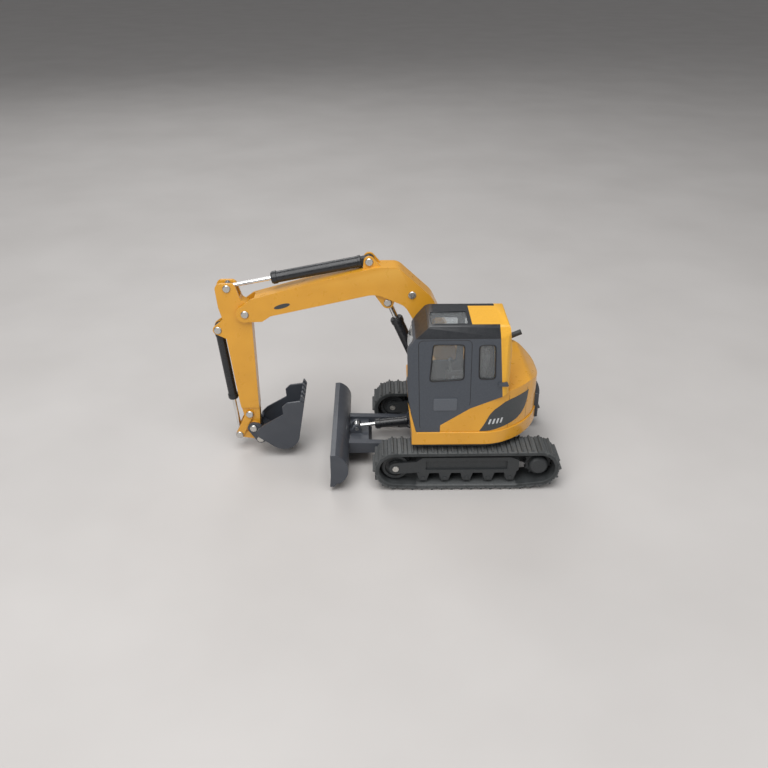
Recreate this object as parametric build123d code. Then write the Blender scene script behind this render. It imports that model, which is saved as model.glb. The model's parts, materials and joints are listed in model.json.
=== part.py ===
from build123d import *
import math
import os

# Tracked compact-radius excavator, a 1:64 model with working joints. Millimetres.
# X points forward, Y to the operator's left, Z up. The origin lies on the ground under the swing axis.

os.makedirs("parts", exist_ok=True)

# ---------------------------------------------------------------- driving dimensions
# Undercarriage
TRACK_Y = 14.5  # centre plane of each track
SHOE_WIDTH = 7.0
SPROCKET_X, SPROCKET_Z, SPROCKET_LOOP_R = -17.2, 5.9, 5.3  # loop radius is over the grousers
IDLER_X, IDLER_Z, IDLER_LOOP_R = 17.0, 5.7, 5.5
SOLE_HALF = 12.0  # half of the flat stretch of track on the ground
GROUSER_HEIGHT, GROUSER_WIDTH, GROUSER_COUNT = 0.5, 0.55, 42
BELT_THICKNESS = 1.1
WHEEL_GAP = 0.2  # between a wheel's rim and the belt it carries
WHEEL_WIDTH = 3.6
AXLE_R = 0.75
RUNNING = 0.05  # radial clearance of a shaft in its hole
ROLLER_R, ROLLER_Z, ROLLER_COUNT, ROLLER_PITCH = 1.25, 2.95, 5, 5.2
SPINDLE_R = 0.5
SPROCKET_TEETH = 13
FRAME_INNER, FRAME_OUTER = 11.9, 17.1  # faces of a track frame, along Y
BODY_BOTTOM, BODY_TOP = 5.5, 9.8  # car body, above the ground

# Swing bearing and deck
BEARING_R, BEARING_WALL, BEARING_STEP = 8.2, 2.2, 0.6
RING_SPLIT_LOW, RING_SPLIT_HIGH = 10.65, 10.75  # faces of the two swing rings
DECK_BOTTOM, DECK_TOP = 11.6, 13.0
SWING_PIN_R, SWING_HEAD_R = 2.0, 3.0

# Upper structure, in plan
TAIL_R = 18.2  # yellow shell, about the swing axis
COUNTERWEIGHT_R = 18.9
TAIL_BLEND = 6.9  # the shoulders' blend radius is this much less than the tail's
SIDE_Y = 17.4  # outer face of the skirts
FRONT_X = 13.3  # front face of the skirts
SKIRT_WALL = 1.0
SKIRT_BOTTOM, SKIRT_TOP = 12.6, 15.9
PANEL_STEP = 0.3  # the side panels stand this far behind the skirt
TAIL_SPLIT_Y = 5.0  # the counterweight fills the tail between these
COUNTERWEIGHT_TOP = 19.2

# Cab
CAB_LEFT, CAB_RIGHT = 17.1, 2.6
CAB_WALL = 0.8
CAB_REAR_X, CAB_FRONT_X = -8.8, 14.6
CAB_TOP = 42.5
CAB_CORNER_R = 8.0  # the right front corner is rounded to clear the boom
REAR_CUT = 3.2  # depth of the cut over the side panel behind the door
CAB_REAR_CORNER_R = 2.0  # the left rear corner, over the round tail
ROOF_SPLIT_X = 0.4
ROOF_PLATE_Y = (5.2, 15.5)  # sides of the yellow plate let into the roof
GLASS, GLASS_DEPTH = 0.4, 0.25  # thickness, and how far behind the outer face it lies

# Engine bonnet
HOOD_FRONT_X = -9.0
HOOD_TOP = 25.9
HOOD_SLOPE_X, HOOD_REAR_Z = -14.8, 24.2
EXHAUST_PLACE, EXHAUST_R, EXHAUST_WALL = (-12.4, -10.5), 0.7, 0.25

# Covers to the right of the boom
COVER_LEFT = -6.3
PUMP_TOP, TANK_TOP = 24.6, 22.6
SLOT_COUNT, SLOT_Z, SLOT_PITCH = 6, 18.0, 0.8

# Front linkage, all in one plane
LINK_Y = -2.2  # centre plane of boom, stick and bucket
FOOT = (-1.0, 17.0)  # boom foot pin
STICK_PIVOT = (52.4, 38.5)
BOOM_CYL_BASE = (7.4, 15.5)
BOOM_CYL_EYE = (18.6, 41.0)
STICK_CYL_BASE = (22.9, 51.1)
STICK_CYL_EYE = (56.3, 44.7)
BUCKET_CYL_BASE = (59.3, 34.1)
ROCKER_PIVOT = (53.4, 10.8)
BUCKET_PIVOT = (52.6, 7.1)
LINK_JOINT = (56.4, 4.8)  # rocker, bucket cylinder rod and power link meet here
BUCKET_LINK = (51.0, 4.0)
BOOM_SIDE_PIN = (12.9, 43.2)
BOOM_HALF, CHEEK_INNER = 2.6, 1.87  # half widths, measured from the linkage plane
BRACKET_INNER, BRACKET_OUTER = 2.75, 3.5
LUG_INNER, LUG_OUTER = 1.05, 1.75  # the cylinder lugs on the boom
STICK_HALF, STICK_TIP_HALF = 1.75, 1.3
STICK_HEAD_SLOT, STICK_LUG_INNER = 1.0, 1.2
ROCKER_INNER, ROCKER_OUTER = 1.42, 1.85
LINK_INNER, LINK_OUTER = 0.92, 1.34
EAR_INNER, EAR_OUTER = 1.95, 2.65
BUCKET_HALF, BUCKET_WALL = 5.0, 0.55
TOOTH_COUNT = 5

# Pins
PIN_R, PIN_HEAD_R, PIN_HEAD = 0.5, 0.95, 0.35
FOOT_PIN_R, FOOT_HEAD_R = 0.8, 1.3
OPEN_EYE = 0.1  # radial clearance at the pivots left open

# Hydraulic cylinders: tube length from the base pin, tube radius, rod length, rod radius
BOOM_TUBE, BOOM_TUBE_R, BOOM_ROD, BOOM_ROD_R = 22.9, 1.4, 14.0, 0.7
STICK_TUBE, STICK_TUBE_R, STICK_ROD, STICK_ROD_R = 23.3, 1.35, 20.0, 0.5
BUCKET_TUBE, BUCKET_TUBE_R, BUCKET_ROD, BUCKET_ROD_R = 19.6, 1.1, 15.0, 0.5
BLADE_TUBE, BLADE_TUBE_R, BLADE_ROD, BLADE_ROD_R = 9.6, 1.15, 8.4, 0.5
TUBE_WALL = 0.35
PISTON_LENGTH = 0.9

# Blade
BLADE_PIVOT = (12.4, 5.2)
BLADE_CYL_BASE = (12.2, 9.0)
BLADE_CYL_EYE = (26.4, 7.4)
BLADE_HALF = 18.1
BLADE_ARM_Y, BLADE_ARM_HALF = 6.4, 0.9
BLADE_LUG_INNER, BLADE_LUG_OUTER = 1.0, 1.7
BLADE_FRONT_X, BLADE_TOP, BLADE_BOTTOM = 32.4, 10.1, 2.2
EDGE_BOTTOM = 1.3  # the cutting edge's lower face, raised off the ground


# ---------------------------------------------------------------- helpers
def side(shape, y_from, y_to):
    """A flat outline drawn in (x, z), extruded from y_from to y_to."""
    return extrude(Plane.XZ.offset(-y_from) * shape, amount=-(y_to - y_from))


def slab(shape, z_from, z_to):
    """A flat outline drawn in (x, y), extruded from z_from to z_to."""
    return extrude(Plane.XY.offset(z_from) * shape, amount=z_to - z_from)


def along_x(shape, x_from, x_to):
    """A flat outline drawn in (y, z), extruded from x_from to x_to."""
    return extrude(Plane.YZ.offset(x_from) * shape, amount=x_to - x_from)


def polygon(*points):
    return make_face(Polyline(*points, close=True))


def rounded(points, radius):
    return make_face(FilletPolyline(*points, radius=radius, close=True))


def disc(point, radius):
    return Pos(*point) * Circle(radius)


def hull(*discs):
    """The convex outline round several (point, radius) discs."""
    edges = [disc(point, radius).edge() for point, radius in discs]
    return make_hull(edges)


def across(inner, outer, shape):
    """The same outline on both sides of the linkage plane, between two distances from it."""
    left = side(shape, LINK_Y + inner, LINK_Y + outer)
    right = side(shape, LINK_Y - outer, LINK_Y - inner)
    return left + right


def middle(half, shape):
    return side(shape, LINK_Y - half, LINK_Y + half)


def cross_pin(point, half, radius=PIN_R):
    return middle(half, disc(point, radius))


def rivet(point, half, radius=PIN_R, head=PIN_HEAD_R):
    """A pin through the linkage with a low domed head at each end."""
    shaft = cross_pin(point, half, radius)
    return shaft + rivet_heads(point, half, head)


def rivet_heads(point, half, head=PIN_HEAD_R):
    heads = across(half, half + PIN_HEAD, disc(point, head))
    circles = heads.edges().filter_by(GeomType.CIRCLE)
    rims = circles.filter_by(lambda edge: abs(edge.center().Y - LINK_Y) > half + 0.1)
    return chamfer(rims, PIN_HEAD / 2)


def stub_rivet(point, inner, half, radius=PIN_R):
    """An open pivot: two short pins, one in each cheek, with nothing between them."""
    return across(inner, half, disc(point, radius)) + rivet_heads(point, half)


def plan_outline(radius, half_width, front_x):
    """Round tail about the swing axis, blended into straight sides, flat front."""
    tail = Circle(radius) & Pos(-radius / 2, 0) * Rectangle(radius, 2 * half_width)
    plan = tail + Pos(front_x / 2, 0) * Rectangle(front_x, 2 * half_width)
    meeting_x = -math.sqrt(radius ** 2 - half_width ** 2)
    shoulders = [v for v in plan.vertices() if abs(v.X - meeting_x) < 0.01]
    return fillet(shoulders, radius - TAIL_BLEND)


def write(name, *solids):
    shape = Compound(children=[s for item in solids for s in item.solids()])
    export_step(shape, f"parts/{name}.step")


def mirrored(shape):
    return mirror(shape, about=Plane.XZ)


# ---------------------------------------------------------------- undercarriage
def loop_outline(inset):
    """The belt's path in side view, inset from the grouser tips."""
    rear = disc((SPROCKET_X, SPROCKET_Z), SPROCKET_LOOP_R - inset).edge()
    front = disc((IDLER_X, IDLER_Z), IDLER_LOOP_R - inset).edge()
    sole = Line((-SOLE_HALF, inset), (SOLE_HALF, inset))
    return make_hull([rear, front, sole])


def track_belt():
    outer = loop_outline(GROUSER_HEIGHT)
    path = outer.face().outer_wire()
    grousers = []
    for i in range(GROUSER_COUNT):
        here = path.position_at(i / GROUSER_COUNT)
        along = path.tangent_at(i / GROUSER_COUNT)
        angle = math.degrees(math.atan2(along.Y, along.X))
        bar = Rectangle(GROUSER_WIDTH, 2 * GROUSER_HEIGHT)
        grousers.append(Pos(here.X, here.Y) * Rot(0, 0, angle) * bar)
    outline = outer + grousers
    outline = outline - loop_outline(GROUSER_HEIGHT + BELT_THICKNESS)
    outline = outline & loop_outline(0)
    return side(outline, TRACK_Y - SHOE_WIDTH / 2, TRACK_Y + SHOE_WIDTH / 2)


def wheel_radius(loop_radius):
    return loop_radius - GROUSER_HEIGHT - BELT_THICKNESS - WHEEL_GAP


def sprocket():
    radius = wheel_radius(SPROCKET_LOOP_R)
    centre = (SPROCKET_X, SPROCKET_Z)
    gear = disc(centre, radius - 0.55)
    for i in range(SPROCKET_TEETH):
        tooth = Pos(radius - 0.65, 0) * Trapezoid(0.95, 1.1, 72, rotation=-90)
        gear += Pos(*centre) * Rot(0, 0, 360 * i / SPROCKET_TEETH) * tooth
    plate = side(gear, TRACK_Y - 0.7, TRACK_Y + 0.7)
    hub = side(disc(centre, 2.3), TRACK_Y - 1.9, TRACK_Y + 2.5)
    hub = chamfer(hub.edges().filter_by(GeomType.CIRCLE).sort_by(Axis.Y)[-1], 0.5)
    bore = side(disc(centre, AXLE_R + RUNNING), TRACK_Y - 2.5, TRACK_Y + 1.6)
    return plate + hub - bore


def idler():
    radius = wheel_radius(IDLER_LOOP_R)
    centre = (IDLER_X, IDLER_Z)
    rim = side(disc(centre, radius), TRACK_Y - 0.6, TRACK_Y + 0.6)
    tread = side(disc(centre, radius - 0.5), TRACK_Y - WHEEL_WIDTH / 2, TRACK_Y + WHEEL_WIDTH / 2)
    dish = side(disc(centre, radius - 1.2) - disc(centre, 1.6), TRACK_Y + 1.1, TRACK_Y + 1.9)
    dish += side(disc(centre, radius - 1.2) - disc(centre, 1.6), TRACK_Y - 1.9, TRACK_Y - 1.1)
    bore = side(disc(centre, AXLE_R + RUNNING), TRACK_Y - 2.5, TRACK_Y + 2.5)
    return rim + tread - dish - bore


def roller_places():
    first = -ROLLER_PITCH * (ROLLER_COUNT - 1) / 2
    return [first + ROLLER_PITCH * i for i in range(ROLLER_COUNT)]


def track_frame():
    """Side beam with the axle arms at both ends and the rollers' saddles under it."""
    beam = polygon((-11.6, 4.4), (11.2, 4.4), (12.0, 5.2), (12.0, 7.6), (10.6, 8.7), (-10.4, 8.7),
                   (-12.4, 7.8), (-12.4, 5.2))
    frame = side(beam, FRAME_INNER, FRAME_OUTER)
    recess = polygon((-9.6, 5.3), (9.8, 5.3), (9.8, 7.7), (-9.6, 7.7))
    frame -= side(recess, FRAME_OUTER - 0.5, FRAME_OUTER)
    rear_arm = hull(((SPROCKET_X, SPROCKET_Z), 2.2), ((-12.0, 6.4), 1.6))
    frame += side(rear_arm, FRAME_INNER - 0.7, TRACK_Y - 2.0)
    shelf = polygon((-12.4, 5.0), (-10.0, 5.0), (-10.0, 8.0), (-12.4, 7.6))
    frame += side(shelf, FRAME_INNER - 0.7, FRAME_INNER)
    front_arm = hull(((IDLER_X, IDLER_Z), 1.5), ((11.8, 6.1), 1.5))
    half = WHEEL_WIDTH / 2 + 0.15
    frame += side(front_arm, TRACK_Y - half - 0.8, TRACK_Y - half)
    frame += side(front_arm, TRACK_Y + half, TRACK_Y + half + 0.65)
    for x in roller_places():
        saddle = polygon((x - 1.5, 4.5), (x + 1.5, 4.5), (x + 0.8, 2.3), (x - 0.8, 2.3))
        frame += side(saddle, FRAME_OUTER - 0.6, FRAME_OUTER)
        frame += side(saddle, FRAME_INNER, FRAME_INNER + 0.6)
    for x, z in ((SPROCKET_X, SPROCKET_Z), (IDLER_X, IDLER_Z)):
        frame -= side(disc((x, z), AXLE_R), 10.0, 19.0)
    for x in roller_places():
        frame -= side(disc((x, ROLLER_Z), SPINDLE_R), 10.0, 19.0)
    return frame


def rollers():
    """Bottom rollers with their spindles, held in the saddles."""
    out = []
    for x in roller_places():
        centre = (x, ROLLER_Z)
        wheel = side(disc(centre, ROLLER_R), 12.6, 16.4)
        wheel -= side(disc(centre, ROLLER_R) - disc(centre, 0.9), TRACK_Y - 0.4, TRACK_Y + 0.4)
        out.append(wheel + side(disc(centre, SPINDLE_R), FRAME_INNER, FRAME_OUTER + 0.2))
    return out


def car_body():
    turret = slab(Circle(9.2), 8.2, BODY_TOP)
    box = slab(Rectangle(17.0, 20.0), BODY_BOTTOM, 8.6)
    box = chamfer(box.edges().filter_by(Axis.Y), 1.2)
    body = turret + box
    for x in (-6.2, 6.2):
        leg = polygon((x - 3.4, 0), (x + 3.4, 0), (x + 2.6, FRAME_INNER), (x - 2.6, FRAME_INNER))
        body += [slab(leg, 5.9, 8.2), mirrored(slab(leg, 5.9, 8.2))]
    body += side(polygon((7.0, 5.6), (11.2, 5.6), (11.2, 8.6), (7.0, 8.6)), -4.6, 4.6)
    for y in (-BLADE_ARM_Y, BLADE_ARM_Y):
        ear = hull((BLADE_PIVOT, 1.5), ((8.4, 7.0), 1.4), ((8.4, 6.8), 1.2))
        body += side(ear, y + 1.0, y + 1.8) + side(ear, y - 1.8, y - 1.0)
    ear = hull((BLADE_CYL_BASE, 1.1), ((9.6, 8.0), 1.2))
    for y in (-BLADE_LUG_OUTER, BLADE_LUG_INNER):
        body += side(ear, y, y + BLADE_LUG_OUTER - BLADE_LUG_INNER)
    for y in (-BLADE_ARM_Y, BLADE_ARM_Y):
        body -= side(disc(BLADE_PIVOT, PIN_R), y - 3, y + 3)
    body -= side(disc(BLADE_CYL_BASE, PIN_R), -3, 3)
    body -= slab(Circle(SWING_PIN_R), 0, 20)
    return body


def bearing_ring(z_from, z_to, radius):
    return slab(Circle(radius) - Circle(radius - BEARING_WALL), z_from, z_to)


def swing_pin():
    """Headed pin up through the car body; the deck turns round it, under its head."""
    shaft = slab(Circle(SWING_PIN_R), BODY_BOTTOM, DECK_TOP + 0.08)
    head = slab(Circle(SWING_HEAD_R), DECK_TOP + 0.08, DECK_TOP + 0.9)
    head = chamfer(head.edges().filter_by(GeomType.CIRCLE).sort_by(Axis.Z)[-1], 0.35)
    slot = slab(Rectangle(4.4, 0.6), DECK_TOP + 0.5, DECK_TOP + 1.0)
    return shaft + head - slot


def y_pin(point, y, half, radius=PIN_R, head=PIN_HEAD_R):
    shaft = side(disc(point, radius), y - half, y + half)
    cap = disc(point, head)
    return shaft + side(cap, y + half, y + half + 0.3) + side(cap, y - half - 0.3, y - half)


def wheel_axles():
    rear = side(disc((SPROCKET_X, SPROCKET_Z), AXLE_R), 11.2, TRACK_Y + 1.5)
    front = side(disc((IDLER_X, IDLER_Z), AXLE_R), 11.85, TRACK_Y + 2.9)
    return [rear, front]


# ---------------------------------------------------------------- blade
def blade_back():
    """The rounded back and the top and bottom edges, open at the front."""
    top, bottom = BLADE_TOP, BLADE_BOTTOM
    return [
        Polyline((30.4, bottom), (BLADE_FRONT_X, bottom)),
        Polyline((BLADE_FRONT_X, top), (31.2, top + 0.1)),
        ThreePointArc((31.2, top + 0.1), (28.2, 6.4), (30.4, bottom)),
    ]


def moldboard():
    """Concave front, round back, closed by flat end plates."""
    front, top, bottom = BLADE_FRONT_X, BLADE_TOP, BLADE_BOTTOM
    board = make_face(blade_back() + [ThreePointArc((front, bottom), (29.7, 6.2), (front, top))])
    end = make_face(blade_back() + [Line((front, bottom), (front, top))])
    plates = side(end, BLADE_HALF - 0.5, BLADE_HALF) + side(end, -BLADE_HALF, 0.5 - BLADE_HALF)
    return side(board, -BLADE_HALF, BLADE_HALF) + plates


def cutting_edge():
    outline = polygon((31.6, EDGE_BOTTOM), (32.6, EDGE_BOTTOM), (32.6, BLADE_BOTTOM), (31.0, BLADE_BOTTOM))
    return side(outline, -BLADE_HALF, BLADE_HALF)


def blade_arms():
    arm = hull((BLADE_PIVOT, 1.2), ((28.6, 5.4), 1.5))
    bar = polygon((22.6, 4.3), (28.6, 4.3), (28.6, 6.1), (23.4, 6.1))
    arms = side(bar, -BLADE_ARM_Y, BLADE_ARM_Y)
    for y in (-BLADE_ARM_Y, BLADE_ARM_Y):
        arms += side(arm, y - BLADE_ARM_HALF, y + BLADE_ARM_HALF)
        arms -= side(disc(BLADE_PIVOT, PIN_R + RUNNING), y - 2, y + 2)
    lug = hull((BLADE_CYL_EYE, 1.1), ((26.8, 6.2), 1.4))
    for y in (-BLADE_LUG_OUTER, BLADE_LUG_INNER):
        arms += side(lug, y, y + BLADE_LUG_OUTER - BLADE_LUG_INNER)
    arms -= side(disc(BLADE_CYL_EYE, PIN_R), -3, 3)
    dished_front = Pos(BLADE_FRONT_X, 0, 6.2) * Rot(90, 0, 0) * Cylinder(4.0, 60)
    return arms - dished_front - moldboard()


def rod_pins():
    """Short pins in the blade's lugs, with nothing between them: this pivot is open."""
    pin = disc(BLADE_CYL_EYE, PIN_R)
    return [side(pin, y, y + BLADE_LUG_OUTER - BLADE_LUG_INNER) for y in (-BLADE_LUG_OUTER, BLADE_LUG_INNER)]


# ---------------------------------------------------------------- hydraulic cylinders
def reach(base, eye):
    """Distance and slope, in degrees, from the base pin to the eye."""
    dx, dz = eye[0] - base[0], eye[1] - base[1]
    return math.hypot(dx, dz), math.degrees(math.atan2(dz, dx))


def placed(shape, base, angle, y):
    return Pos(base[0], y, base[1]) * Rot(0, -angle, 0) * shape


def bar_x(radius, x_from, x_to):
    return Pos((x_from + x_to) / 2, 0, 0) * Rot(0, 90, 0) * Cylinder(radius, x_to - x_from)


def boss_y(radius, half, x=0.0):
    return Pos(x, 0, 0) * Rot(90, 0, 0) * Cylinder(radius, 2 * half)


def barrel(base, eye, length, radius, rod_radius, eye_radius, eye_half, clear, y=LINK_Y):
    """Tube with a base eye, an end cap and a gland nut, bored for its piston."""
    _, angle = reach(base, eye)
    start = eye_radius + clear
    gland_start = length - 1.3
    tube = bar_x(radius, start, length) + bar_x(radius + 0.12, start, start + 0.7)
    tube += bar_x(radius + 0.18, gland_start, length - 0.3)
    tube += boss_y(eye_radius, eye_half)
    tube += Pos((start + 0.3) / 2, 0, 0) * Box(start + 0.3, 2 * eye_half, 1.6 * eye_radius)
    bore = bar_x(radius - TUBE_WALL, start + 1.1, gland_start + 0.1)
    mouth = bar_x(rod_radius + RUNNING, gland_start, length + 1)
    return placed(tube - bore - mouth - boss_y(PIN_R + RUNNING, eye_half + 1), base, angle, y)


def rod(base, eye, length, barrel_radius, radius, eye_radius, eye_half, y=LINK_Y):
    """Rod with a piston inside the tube and an eye at its outer end."""
    distance, angle = reach(base, eye)
    inner = distance - length
    shaft = bar_x(radius, inner, distance - eye_radius / 2)
    shaft += bar_x(barrel_radius - TUBE_WALL - RUNNING, inner, inner + PISTON_LENGTH)
    shaft += boss_y(eye_radius, eye_half, distance)
    return placed(shaft - boss_y(PIN_R + OPEN_EYE, eye_half + 1, distance), base, angle, y)


# ---------------------------------------------------------------- upper structure
def deck():
    outline = plan_outline(TAIL_R - SKIRT_WALL, SIDE_Y - SKIRT_WALL, FRONT_X - SKIRT_WALL)
    return slab(outline - Circle(SWING_PIN_R + RUNNING), DECK_BOTTOM, DECK_TOP)


def boom_bracket():
    """Two upright plates on the deck that hold the boom foot and the boom cylinder's base."""
    foot_line = Line((-6.4, DECK_TOP), (10.6, DECK_TOP))
    plate = make_hull([disc(FOOT, 2.6).edge(), disc(BOOM_CYL_BASE, 1.9).edge(), foot_line])
    plate = plate & Pos(2.0, DECK_TOP + 6.0) * Rectangle(30.0, 12.0)
    over_pin = SWING_HEAD_R + 0.3
    plate -= Pos(0, DECK_TOP) * Rectangle(2 * over_pin, 2.4)
    bracket = across(BRACKET_INNER, BRACKET_OUTER, plate)
    bracket -= cross_pin(FOOT, 6, FOOT_PIN_R) + cross_pin(BOOM_CYL_BASE, 6)
    spacer = disc(BOOM_CYL_BASE, 1.3) - disc(BOOM_CYL_BASE, PIN_R)
    return bracket + across(1.0, BRACKET_INNER, spacer)


def skirt_ring():
    outer = plan_outline(TAIL_R, SIDE_Y, FRONT_X)
    inner = plan_outline(TAIL_R - SKIRT_WALL, SIDE_Y - SKIRT_WALL, FRONT_X - SKIRT_WALL)
    return slab(outer - inner, SKIRT_BOTTOM, SKIRT_TOP)


def skirt_left():
    """Yellow band round the left side, with the thin corner trim that rises in front of the cab."""
    rear = slab(Pos(0, TAIL_SPLIT_Y + 10) * Rectangle(60, 20), 10, 20)
    front = slab(Pos(FRONT_X, CAB_RIGHT + 2) * Rectangle(2 * SKIRT_WALL + 0.4, 4), 10, 20)
    band = skirt_ring() & (rear + front)
    trim = polygon((12.3, SKIRT_TOP), (13.3, SKIRT_TOP), (14.35, 24.0))
    return band + side(trim, CAB_LEFT, SIDE_Y)


def skirt_right():
    return skirt_ring() & slab(Pos(0, -TAIL_SPLIT_Y - 10) * Rectangle(60, 20), 10, 20)


def counterweight():
    section = Pos(-16.4, 0) * Rectangle(9.0, 2 * TAIL_SPLIT_Y)
    block = slab(Circle(COUNTERWEIGHT_R) & section, DECK_TOP, COUNTERWEIGHT_TOP)
    block += slab((Circle(COUNTERWEIGHT_R) - Circle(TAIL_R - SKIRT_WALL)) & section, SKIRT_BOTTOM, DECK_TOP)
    return block


def hood_block(inset):
    """Rear bonnet as a solid, inset evenly: flat top that rolls down to the round tail."""
    radius, half = TAIL_R - PANEL_STEP - inset, SIDE_Y - PANEL_STEP - inset
    front, top = HOOD_FRONT_X - inset, HOOD_TOP - inset
    plan = panel_plan(inset) & Pos(front - 10, 0) * Rectangle(20, 60)
    points = [(front + 9, 5), (front + 9, top), (HOOD_SLOPE_X, top), (-radius, HOOD_REAR_Z - inset),
              (-radius, 5)]
    profile = rounded(points, [1, 1, 3.0, 1.2, 1])
    section = rounded([(-half, 5), (-half, top), (half, top), (half, 5)], 0.9)
    return slab(plan, SKIRT_TOP, 40) & side(profile, -30, 30) & along_x(section, -30, 10)


def engine_hood():
    """One-piece bonnet shell round the tail, notched where the counterweight stands."""
    shell = hood_block(0) - hood_block(CAB_WALL)
    notch = polygon((-30, 10), (-12, 10), (-12, COUNTERWEIGHT_TOP), (-30, COUNTERWEIGHT_TOP))
    shell -= side(notch, -TAIL_SPLIT_Y, TAIL_SPLIT_Y)
    return shell - slab(Pos(*EXHAUST_PLACE) * Circle(EXHAUST_R), HOOD_TOP - 2, HOOD_TOP + 2)


def panel_plan(inset=0.0):
    """Plan of the covers above the skirts: straight sides and a round tail."""
    return plan_outline(TAIL_R - PANEL_STEP - inset, SIDE_Y - PANEL_STEP - inset, FRONT_X)


def side_panel_left():
    """Yellow panel below the cab's slanting sill, curving round to meet the bonnet."""
    return side(sill_outline(), 5, SIDE_Y) & slab(panel_plan() - panel_plan(CAB_WALL), SKIRT_TOP, CAB_TOP)


def right_cover(x_from, x_to, z_top, slope):
    """Closed cover to the right of the boom with its top front edge cut back."""
    points = [(x_from, SKIRT_TOP), (x_to, SKIRT_TOP), (x_to, z_top - slope), (x_to - slope, z_top),
              (x_from, z_top)]
    outline = rounded(points, [0.1, 0.1, 0.8, 0.8, 0.5])
    outer = side(outline, -SIDE_Y, COVER_LEFT) & slab(panel_plan(), SKIRT_TOP, CAB_TOP)
    inner = side(offset(outline, -CAB_WALL), -SIDE_Y, COVER_LEFT - CAB_WALL)
    return outer - (inner & slab(panel_plan(CAB_WALL), SKIRT_TOP, CAB_TOP))


def pump_cover():
    """Cover over the pumps, with a row of cooling slots in its outer face."""
    cover = right_cover(HOOD_FRONT_X + 0.1, -0.1, PUMP_TOP, 0.6)
    for i in range(SLOT_COUNT):
        z = SLOT_Z + SLOT_PITCH * i
        slot = polygon((-5.2, z), (-1.0, z), (-1.0, z + 0.35), (-5.2, z + 0.35))
        cover -= side(slot, -SIDE_Y, PANEL_STEP - SIDE_Y + 0.4)
    return cover


def tank_cover():
    """Fuel tank cover with a filler cap, sloping down to the front step."""
    cover = right_cover(0.0, FRONT_X - SKIRT_WALL, TANK_TOP, 3.2)
    cap = slab(Pos(3.4, -14.0) * Circle(1.3), TANK_TOP, TANK_TOP + 0.7)
    return cover + chamfer(cap.edges().filter_by(GeomType.CIRCLE).sort_by(Axis.Z)[-1], 0.25)


def exhaust_pipe():
    """Short pipe up through the bonnet's right side, bent towards the rear."""
    x, y = EXHAUST_PLACE
    base = (x, y, HOOD_TOP - 1.0)
    path = FilletPolyline(base, (x, y, HOOD_TOP + 1.3), (x - 3.2, y, HOOD_TOP + 2.7), radius=1.0)
    pipe = sweep(Plane(origin=base) * (Circle(EXHAUST_R) - Circle(EXHAUST_R - EXHAUST_WALL)), path=path)
    collar = slab(Pos(x, y) * (Circle(EXHAUST_R + 0.3) - Circle(EXHAUST_R - 0.1)), HOOD_TOP, HOOD_TOP + 0.3)
    return pipe + collar


# ---------------------------------------------------------------- cab
def cab_profile(inset):
    """Side outline of the cab: raked lower front, upright windscreen, sloping roof front."""
    rear, front, top = CAB_REAR_X + inset, CAB_FRONT_X - inset, CAB_TOP - inset
    bottom = SKIRT_TOP + inset
    points = [(rear, bottom), (front - 1.9, bottom), (front - 0.3, 25.0), (front, 37.0), (front - 1.7, 39.6),
              (front - 5.2, top), (rear + 0.9, top), (rear + 0.1, 37.0)]
    return rounded(points, [0.3, 0.3, 3.0, 1.5, 1.5, 3.0, 0.6, 3.0])


def cab_solid(inset):
    right, left, top = CAB_RIGHT + inset, CAB_LEFT - inset, CAB_TOP - inset
    section = rounded([(right, 5), (right, top - 2.6), (right + 1.1, top + 0.1), (left - 1.1, top + 0.1),
                       (left, top - 2.6), (left, 5)], 1.0)
    front, rear = CAB_FRONT_X - inset, CAB_REAR_X + inset
    corners = [(rear, right), (front, right), (front, left), (rear, left)]
    plan = rounded(corners, [0.6, CAB_CORNER_R - inset, 1.2, CAB_REAR_CORNER_R - inset])
    return side(cab_profile(inset), right, left) & along_x(section, -30, 30) & slab(plan, 5, 50)


def left_windows():
    front = rounded([(9.5, 29.1), (1.8, 29.6), (2.0, 38.3), (8.9, 38.4)], 0.5)
    rear = rounded([(-1.6, 29.7), (-5.3, 29.7), (-4.9, 38.2), (-1.3, 38.1)], 0.5)
    return [front, rear]


def right_windows():
    front = rounded([(8.4, 27.5), (2.2, 27.5), (2.2, 38.6), (8.4, 38.6)], 0.6)
    rear = rounded([(0.6, 27.5), (-4.4, 27.5), (-4.4, 38.6), (0.6, 38.6)], 0.6)
    return [front, rear]


def windscreen_hole():
    opening = rounded([(3.4, 25.6), (15.6, 25.6), (15.6, 39.0), (3.4, 39.0)], 0.8)
    return along_x(opening, CAB_FRONT_X - 4.2, CAB_FRONT_X + 2)


def skylight_hole():
    opening = rounded([(1.2, 8.2), (9.4, 8.6), (9.4, 15.0), (1.2, 15.0)], 0.5)
    return slab(opening, CAB_TOP - 2, CAB_TOP + 2)


def rear_hole():
    opening = rounded([(5.2, 30.0), (14.5, 30.0), (14.5, 39.0), (5.2, 39.0)], 0.6)
    return along_x(opening, CAB_REAR_X - 1, CAB_REAR_X + 3)


def cab_shell():
    shell = cab_solid(0) - cab_solid(CAB_WALL)
    for window in left_windows():
        shell -= side(window, CAB_LEFT - 2, CAB_LEFT + 1)
    for window in right_windows():
        shell -= side(window, CAB_RIGHT - 1, CAB_RIGHT + 2)
    shell -= side(sill_outline(), CAB_LEFT - CAB_WALL, CAB_LEFT + 1)
    shell -= side(sill_outline(), CAB_LEFT - REAR_CUT, CAB_LEFT + 1) & side(rear_band(), 5, 25)
    return shell - windscreen_hole() - skylight_hole() - rear_hole()


def rear_band():
    """Side view of the cab's rear pillar zone, where the round tail passes under the cab."""
    return polygon((-20, 10), (-6.8, 10), (-6.8, 50), (-20, 50))


def sill_outline():
    """The corner of the cab's left wall that the yellow side panel takes over."""
    return polygon((6.8, SKIRT_TOP), (6.8, 17.7), (0.1, 22.1), (-6.8, 25.0), (HOOD_FRONT_X, HOOD_TOP),
                   (HOOD_FRONT_X, SKIRT_TOP))


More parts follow.
